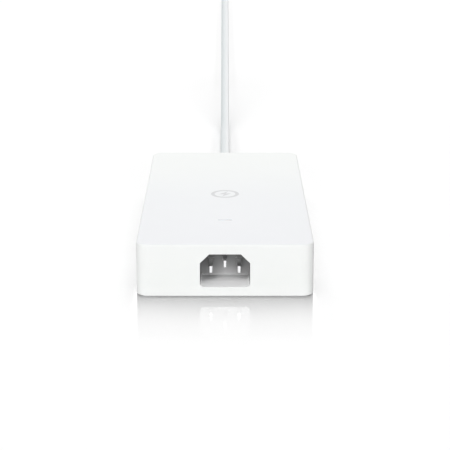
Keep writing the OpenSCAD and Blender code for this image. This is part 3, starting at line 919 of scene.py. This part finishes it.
# ---------------------------------------------------------------- data jack
def spring_finger(side, z):
    """Thin bowed strip on a side of the jack's shell, -1 left or 1 right."""
    half_width, thickness = 0.9, 0.18
    # (y from the back face, outward from the shell's side)
    stations = ((-0.5, 0.0), (-1.6, 0.22), (-3.0, 0.28), (-4.4, 0.02))
    verts, faces = [], []
    for y, out in stations:
        x = JACK_X + side * (8.1 + out)
        for dz in (-half_width, half_width):
            verts += [(x, BACK + y, z + dz), (x - side * thickness, BACK + y, z + dz)]
    for j in range(len(stations) - 1):
        a, b = j * 4, (j + 1) * 4
        faces += [(a, b, b + 2, a + 2), (a + 1, a + 3, b + 3, b + 1),
                  (a, a + 1, b + 1, b), (a + 2, b + 2, b + 3, a + 3)]
    last = len(verts)
    faces += [(0, 2, 3, 1), (last - 4, last - 3, last - 1, last - 2)]
    return mesh_object("finger", verts, faces, "jack_steel")


def make_jack_shell():
    finish = "jack_steel"
    shell = prism("jack_shell", rounded_rect(16.2, 13.6, 0.7, 6, JACK_X, JACK_MID_Z),
                  BACK - 21.7, BACK - 0.3, "y", finish)
    hollow = prism("shell_hollow", rounded_rect(15.5, 12.9, 0.4, 6, JACK_X, JACK_MID_Z),
                   BACK - 20.7, BACK + 1, "y", finish)
    boolean(shell, [hollow])
    bevel(shell, 0.1)
    fingers = [spring_finger(side, JACK_MID_Z + dz) for side in (-1, 1) for dz in (-3.0, 3.0)]
    shell = join("jack_shell", [shell] + fingers)
    smooth(shell, 30)
    weigh(shell)
    attach(shell, "housing", finish, "jack_shield")


def make_jack_core():
    finish = "black_moulding"
    core = prism("jack_core", rounded_rect(15.3, 12.7, 0.3, 4, JACK_X, JACK_MID_Z),
                 BACK - 20.6, BACK - 0.55, "y", finish)
    # stepped opening: (half width, low and high above the jack's underside)
    steps = ((6, 4.4, 11.4), (3.2, 2.6, 5.0), (1.8, 1.2, 3.2))
    boolean(core, [box("opening", (JACK_X - half, BACK - 14, JACK_Z + low),
                       (JACK_X + half, BACK + 4, JACK_Z + high), finish)
                   for half, low, high in steps])
    boolean(core, [box("contact_slot", (JACK_X + x - 0.28, BACK - 17.2, JACK_Z + 11.2),
                       (JACK_X + x + 0.28, BACK - 1.4, JACK_Z + 12.3), finish)
                   for x in CONTACTS])
    soften(core, 0.12)
    attach(core, "housing", finish, "jack_insert")


def make_jack_wires():
    # (y from the back face, z above the jack's underside)
    path = ((-2.6, 12.0), (-3.0, 11.95), (-3.6, 11.6), (-4.4, 11.2), (-7.0, 10.2),
            (-10.0, 9.0), (-12.4, 8.2), (-13.6, 8.1))
    wires = join("jack_wires", [
        tube("jack_wire", [(JACK_X + x, BACK + y, JACK_Z + z) for y, z in path], 0.24, 10,
             "contact_gold") for x in CONTACTS])
    smooth(wires, 60)
    attach(wires, "housing", "contact_gold", "jack_contacts")


# ---------------------------------------------------------------- strain relief
BORE = LEAD_RADIUS + 0.06         # inside of both lead sleeves
# (y from the back face, radius): collar inside the wall, neck in the hole, head outside
BOOT_HEAD = [(-4.0, BORE), (-4.0, 6.0), (-3.8, 6.2), (-2.05, 6.2), (-2.05, 4.42),
             (0.08, 4.42), (0.08, 5.5), (0.2, 5.75), (0.45, 5.86), (1.5, 5.8), (2.6, 5.6),
             (3.2, 5.42), (3.5, 5.2)]
# (y from the groove's start, radius change): one groove and the rib behind it
BOOT_RIB = [(0.0, -0.62), (0.15, -0.78), (0.35, -0.84), (0.85, -0.84), (1.05, -0.78),
            (1.2, -0.62), (1.25, -0.25), (1.35, -0.07), (1.5, 0.0), (2.55, -0.08),
            (2.7, -0.15), (2.8, -0.32)]
BOOT_END = [(23.6, 3.95), (24.5, 3.88), (24.85, 3.75), (25.0, 3.5), (24.9, 3.26),
            (24.0, BORE)]


def make_strain_boot():
    """Ribbed sleeve that tapers along the lead."""
    profile = list(BOOT_HEAD)
    for rib in range(7):
        start = 3.6 + 2.85 * rib
        radius = 5.05 - 0.17 * rib
        profile += [(start + dy, radius + change - 0.055 * dy) for dy, change in BOOT_RIB]
    boot = lathe("strain_boot", profile + BOOT_END, "boot_rubber", 72, closed=True,
                 at=(0, BACK, LEAD_Z))
    smooth(boot, 40)
    attach(boot, "housing", "boot_rubber", "lead_boot")


# ---------------------------------------------------------------- output lead
def far_point(distance):
    """Point on the rising part of the lead, at a distance from its start."""
    return (0, RISE_Y + distance * math.cos(RISE), REST_Z + distance * math.sin(RISE))


def make_near_lead():
    """Jacket from the casing down to the seam on the table, and the four pairs inside it."""
    drop_start = (0, DROP_Y - 4, LEAD_Z)
    drop_end = (0, REST_Y - 2, REST_Z)
    path = straight((0, BACK - 6, LEAD_Z), drop_start, 2.0)[:-1]
    path += bezier(drop_start, (0, DROP_Y + 22, LEAD_Z), (0, REST_Y - 42, REST_Z), drop_end, 40)
    path += straight(drop_end, (0, SEAM_Y, REST_Z), 2.5)[1:]
    bodies = ("housing", "near_lead")
    bend = (DROP_Y - 2, DROP_Y + 14)
    jacket = tube("jacket_near", path, LEAD_RADIUS, 44, "lead_jacket")
    smooth(jacket, 60)
    attach_bend(jacket, bodies, bend, LEAD_Z, "lead_jacket", "lead_entry", "lead_near")
    pairs = join("cores_near", [
        tube("pair", offset_path(path[3:], side, lift), 0.78, 12, "wire_sleeve")
        for side in (-0.9, 0.9) for lift in (-0.9, 0.9)])
    smooth(pairs, 60)
    attach_bend(pairs, bodies, bend, LEAD_Z, "wire_sleeve", "pairs_near")


def make_far_lead():
    """Jacket from the seam up to the plug."""
    reach = 10                    # length of lead in the bend, each way from its middle
    bend_start = (0, RISE_Y - reach, REST_Z)
    path = straight((0, SEAM_Y, REST_Z), bend_start, 2.5)[:-1]
    path += bezier(bend_start, (0, RISE_Y - 3.4, REST_Z), far_point(3.4), far_point(reach), 20)
    path += straight(far_point(reach), far_point(FAR_LENGTH - 0.5), 2.5)[1:]
    jacket = tube("jacket_far", path, LEAD_RADIUS, 44, "lead_jacket")
    smooth(jacket, 60)
    attach_bend(jacket, ("near_lead", "far_lead"), (RISE_Y - reach, RISE_Y + reach), REST_Z,
                "lead_jacket", "lead_far")


# ---------------------------------------------------------------- plug
# built along +Y at the origin, then moved to the end of the lead
PLUG_PLACE = (Matrix.Translation(Vector(far_point(FAR_LENGTH)) * MM)
              @ Matrix.Rotation(RISE, 4, "X"))
HINGE_Y, HINGE_Z = 23.1, 4.05     # the latch's root, at the nose


def attach_plug(piece, body, slot, node):
    piece.data.transform(PLUG_PLACE)
    piece.data.update()
    attach(piece, body, slot, node)


def make_plug_sleeve():
    finish = "boot_rubber"
    # (y, radius), with five grooves in the middle
    profile = [(-14.0, BORE), (-14.05, 3.6), (-13.8, 3.85), (-13.2, 3.95)]
    for groove in range(5):
        y = -12.6 + 2.1 * groove
        profile += [(y, 3.98), (y + 0.1, 3.5), (y + 0.7, 3.45), (y + 0.85, 3.95),
                    (y + 1.0, 4.05)]
    profile += [(-2.0, 4.15), (0.6, 4.4), (0.9, 4.2), (1.0, 3.4), (1.0, BORE)]
    sleeve = lathe("sleeve", profile, finish, 56, closed=True)
    block = prism("block", rounded_rect(10.4, 6.2, 1.0, 6), 0.6, 4.0, "y", finish)
    bevel(block, 0.35, segments=3)
    tongue = prism("tongue", rounded_rect(8.9, 4.7, 0.6, 5), 3.8, 7.9, "y", finish)
    sleeve = join("plug_sleeve", [sleeve, block, tongue])
    smooth(sleeve, 40)
    attach_plug(sleeve, "far_lead", finish, "plug_boot")
    return sleeve


def make_plug_shell():
    finish = "plug_clear"
    shell = prism("plug_shell", rounded_rect(11.7, 6.6, 0.35, 4), 4.1, 25.6, "y", finish)
    nose = prism("nose", [(-3.2, 3.0), (3.2, 3.0), (3.2, 4.6), (3.0, 4.8), (-3.0, 4.8),
                          (-3.2, 4.6)], 23.3, 25.6, "y", finish)
    boolean(shell, [nose], "UNION")
    boolean(shell, [box("tongue_room", (-4.55, 3.0, -2.45), (4.55, 8.2, 2.45), finish),
                    box("core_room", (-4.3, 7.5, -1.3), (4.3, 20.0, 1.4), finish)])
    slots = [box("blade_slot", (x - 0.22, 19.0, -4.5), (x + 0.22, 27.0, -0.9), finish)
             for x in CONTACTS]
    groove = cross_rod("hinge_groove", 0.62, 8, finish, 20, HINGE_Y, HINGE_Z)
    boolean(shell, slots + [groove])
    soften(shell, 0.1)
    attach_plug(shell, "far_lead", finish, "plug_body")


def make_plug_blades():
    # (y, z)
    outline = [(19.3, -2.9), (20.2, -3.15), (24.4, -3.15), (24.9, -2.9), (24.9, -1.0),
               (19.3, -1.0)]
    blades = join("plug_blades", [prism("blade", outline, x - 0.16, x + 0.16, "x",
                                        "contact_gold") for x in CONTACTS])
    smooth(blades, 20)
    attach_plug(blades, "far_lead", "contact_gold", "plug_contacts")


def make_plug_cores():
    """Eight coloured cores seen through the clear plug, fanning out from the jacket."""
    colors = {"w": (0.85, 0.85, 0.82), "o": (0.80, 0.36, 0.06), "b": (0.05, 0.16, 0.60),
              "g": (0.05, 0.40, 0.12), "n": (0.28, 0.12, 0.05)}
    order = "wowbwgwn"
    # one material for each core; the white cores all share the last white one
    for key in order:
        surface("core_" + key, colors[key], tone_var=0.05)
    cores = []
    for x, key in zip(CONTACTS, order):
        path = bezier((x * 0.45, 4.5, -0.4), (x * 0.6, 6.0, -0.45), (x * 0.9, 8.0, -0.5),
                      (x, 10.0, -0.5), 8)
        path.append((x, 19.6, -0.5))
        cores.append(tube("core", path, 0.42, 12, "core_" + key))
    cores = join("plug_cores", cores)
    smooth(cores, 60)
    attach_plug(cores, "far_lead", "wire_sleeve", "pairs_far")


def make_latch():
    """Tab that slopes up and back from the hinge, wider near its root."""
    finish = "plug_clear"
    # (y, z) from the hinge
    narrow = [(0.0, -0.45), (0.0, 0.45), (-7.0, 0.45), (-7.6, 0.45), (-19.0, 0.35),
              (-19.3, 0.1), (-19.2, -0.35), (-18.6, -0.45)]
    broad = [(-0.15, -0.48), (-0.15, 0.48), (-6.6, 0.48), (-7.05, 0.2), (-7.05, -0.48)]
    arm = prism("arm", narrow, -1.6, 1.6, "x", finish)
    shoulder = prism("shoulder", broad, -3.1, 3.1, "x", finish)
    slope = Matrix.Rotation(math.radians(-10), 4, "X")
    arm.data.transform(slope)
    shoulder.data.transform(slope)
    boolean(arm, [shoulder], "UNION")
    boolean(arm, [cross_rod("knuckle", 0.55, 6.2, finish, 24)], "UNION")
    arm.name = "latch_tab"
    arm.data.transform(Matrix.Translation(Vector((0, HINGE_Y, HINGE_Z)) * MM))
    soften(arm, 0.1)
    attach_plug(arm, "latch", finish, "plug_latch")


# ---------------------------------------------------------------- table
# (y from -0.12 m over 0.28 m as 0..1; light added beside the casing)
LIFT_LEFT = [(0.0, 0.0), (0.17, 0.0), (0.219, 0.021), (0.276, 0.04), (0.4, 0.042),
             (0.5, 0.033), (0.6, 0.03), (0.68, 0.014), (0.76, 0.018), (0.84, 0.01),
             (0.96, 0.0)]
LIFT_RIGHT = [(0.0, 0.0), (0.076, 0.04), (0.107, 0.064), (0.138, 0.08), (0.165, 0.105),
              (0.219, 0.15), (0.276, 0.166), (0.336, 0.18), (0.531, 0.195), (0.6, 0.187),
              (0.676, 0.169), (0.715, 0.13), (0.796, 0.05), (0.88, 0.02), (0.96, 0.0)]
# (y in the plug's frame over 1.6 m as 0..1; depth of the lead's shade)
LEAD_SHADE = [(0.1, 0.0), (0.13, 0.055), (0.148, 0.045), (0.16, 0.02), (0.168, 0.0),
              (0.19, 0.0), (0.235, 0.014), (0.29, 0.036), (0.38, 0.058), (0.5, 0.056),
              (0.6, 0.038), (0.9, 0.0)]


def table_lift(shader, x, y, out_x, out_y):
    """Light added to the table round the casing."""
    under_gain, before_gain = 0.13, 0.085
    # beside the casing
    side = shader.mul(shader.exp(shader.div(out_x, -0.014)),
                      shader.span(shader.absolute(x), start=0.0415, width=0.002))
    along = shader.span(y, start=-0.12, width=0.28)
    right = shader.above(x, 0.0)
    lift = shader.add(shader.mul(shader.one_minus(right), shader.ramp(along, LIFT_LEFT)),
                      shader.mul(right, shader.ramp(along, LIFT_RIGHT)))
    lift = shader.mul(side, lift)
    # just under the front edge, seen through the gap
    under = shader.mul(shader.span(y, start=-0.0916, width=0.0004),
                       shader.span(-0.087, start=y, width=0.002))
    under = shader.mul(under, shader.span(0.0425, start=shader.absolute(x), width=0.003))
    lift = shader.add(lift, shader.mul(under, under_gain))
    # before the inlet
    before = shader.mul(shader.tent(x, half_width=0.024),
                        shader.span(0.02, start=out_y, width=0.011))
    before = shader.mul(before, shader.below(y, -0.0918))
    return shader.add(lift, shader.mul(before, before_gain))


def lead_shade(shader, plug):
    """Soft shade under the lead, measured from the plug so that it turns with it."""
    x, y, _ = shader.xyz(shader.coords(object=plug))
    edge_gain = 3.2
    strip = shader.mul(shader.tent(x, half_width=0.0112), edge_gain, clamp=True)
    strip = shader.mul(strip, shader.ramp(shader.div(y, 1.6, clamp=True), LEAD_SHADE))
    # the nearer part keeps its middle clear
    near = shader.one_minus(shader.span(y, start=0.30, width=0.12))
    flank = shader.span(shader.absolute(x), start=0.0046, width=0.0024)
    clear_middle = shader.mul(near, shader.one_minus(flank))
    return shader.mul(strip, shader.one_minus(clear_middle))


def floor_material(plug):
    """Matt table, with a painted reflection for the camera only, just round the casing's
    footprint.
    """
    shader = new_material("floor_gloss")
    place = shader.coords()
    cloud = shader.noise(place, Scale=3.0, Detail=3.0)
    x, y, _ = shader.xyz(place)
    # distances outside the footprint
    out_x, out_y = [shader.math("MAXIMUM", shader.sub(shader.absolute(value), half * MM), 0.0)
                    for value, half in ((x, WIDTH / 2), (y, LENGTH / 2))]
    # 0 when seen along Y, 1 from well to the side
    view_x = shader.xyz(shader.geometry("Incoming"))[0]
    from_side = shader.mul(shader.sub(shader.absolute(view_x), 0.25), 4.0, clamp=True)

    shade = shader.mul(lead_shade(shader, plug), shader.one_minus(from_side))
    tint = shader.multiply(shader.ramp(cloud, [(0.3, 0.888), (0.7, 0.896)]),
                           shader.one_minus(shade))
    # the far table is lit a little
    far_light = 0.075
    spread = shader.add(shader.absolute(x), shader.absolute(y))
    away = shader.add(shader.span(spread, start=0.45, width=0.9),
                      shader.span(spread, start=1.5, width=2.5))
    lift = table_lift(shader, x, y, out_x, out_y)
    shader.principled({
        "Base Color": tint, "Roughness": 0.9, "Specular IOR Level": 0.0,
        "Emission Color": rgba(1),
        "Emission Strength": shader.add(shader.mul(away, far_light), lift)})

    # painted reflection for the camera only: seen from the front it stops at the casing's
    # width; seen from elsewhere it also fades outwards beside it
    front_reach, side_reach, y_reach = 0.0008, 0.022, 0.0185
    camera_reflection_share = 0.535
    reach = shader.add(shader.mul(from_side, side_reach), front_reach)
    camera_reflection = shader.exp(shader.sub(shader.div(out_y, -y_reach), shader.div(out_x, reach)))
    camera_reflection = shader.mul(camera_reflection, shader.span(0.064, start=shader.add(out_x, out_y),
                                            width=0.014))
    camera_reflection = shader.mul(camera_reflection, shader.light_path()["Is Camera Ray"])
    rough, rough_var = 0.05, 0.02
    glossy = shader.node("ShaderNodeBsdfGlossy", Color=rgba(1),
                         Roughness=shader.add(shader.mul(cloud, rough_var), rough))
    shader.feed(shader.output, shader.mix_shaders(shader.mul(camera_reflection, camera_reflection_share),
                                                  shader.bsdf, glossy))


def make_floor(plug):
    half = 8
    mesh = bpy.data.meshes.new("floor")
    mesh.from_pydata([(-half, -half, 0), (half, -half, 0), (half, half, 0), (-half, half, 0)],
                     [], [(0, 1, 2, 3)])
    floor = bpy.data.objects.new("floor", mesh)
    floor.location.z = -0.00005
    scene.collection.objects.link(floor)
    floor_material(plug)
    mesh.materials.append(materials["floor_gloss"])


# ---------------------------------------------------------------- world, lights, camera
def make_world():
    """Bright behind the middle and dim to the sides, but plain white to the camera."""
    world = bpy.data.worlds.new("studio")
    scene.world = world
    world.use_nodes = True
    shader = Shader(world.node_tree)
    x = shader.xyz(shader.node("ShaderNodeTexCoord").outputs["Generated"])[0]
    glow = shader.ramp(shader.to_unit(x), [(0.0, 0.28), (0.3, 0.94), (0.5, 1.17), (0.72, 0.74),
                                           (1.0, 0.16)], "EASE")
    lighting = shader.node("ShaderNodeBackground", Color=glow, Strength=1.215)
    backdrop = shader.node("ShaderNodeBackground", Color=rgba(1), Strength=1.05)
    mixed = shader.mix_shaders(shader.light_path()["Is Camera Ray"], lighting, backdrop)
    output = shader.node("ShaderNodeOutputWorld")
    shader.feed(output.inputs[0], mixed)


def area_light(name, place, target, size, energy):
    data = bpy.data.lights.new(name, "AREA")
    data.shape = "RECTANGLE"
    data.size, data.size_y = size
    data.energy = energy
    light = bpy.data.objects.new(name, data)
    light.location = place
    aim = Vector(target) - Vector(place)
    light.rotation_euler = aim.to_track_quat("-Z", "Y").to_euler()
    scene.collection.objects.link(light)


def make_camera():
    """In front of the casing and above it, looking down a little."""
    look_down = 17.07             # degrees
    data = bpy.data.cameras.new("camera")
    camera = bpy.data.objects.new("camera", data)
    scene.collection.objects.link(camera)
    camera.location = (0.0, -0.7364, 0.2349)
    camera.rotation_euler = (math.radians(90 - look_down), 0, 0)
    data.lens = 112.0
    data.sensor_width = 36.0
    data.clip_start = 0.01
    data.clip_end = 60.0
    scene.camera = camera


# ---------------------------------------------------------------- build
make_materials()
finish_frame_pieces()

make_casing()
make_face_mark()
make_status_window()
make_base_cover()
make_feet()
make_inlet()
make_pin("pin_line", PIN_PLACES[0], 6, "line_pin")
make_pin("pin_neutral", PIN_PLACES[1], 6, "neutral_pin")
make_pin("pin_earth", PIN_PLACES[2], 2.5, "earth_pin")
make_jack_shell()
make_jack_core()
make_jack_wires()
make_strain_boot()
make_near_lead()
make_far_lead()
plug_sleeve = make_plug_sleeve()
make_plug_shell()
make_plug_blades()
make_plug_cores()
make_latch()

make_floor(plug_sleeve)
make_world()
area_light("overhead", place=(0.0, 0.6, 1.1), target=(0, 0.1, 0), size=(1.2, 0.9), energy=2.2)
area_light("front_fill", place=(0.0, -1.7, 0.42), target=(0, -0.05, 0), size=(1.2, 0.5),
           energy=6.8)
make_camera()
scene.view_settings.view_transform = "Standard"
scene.view_settings.look = "None"
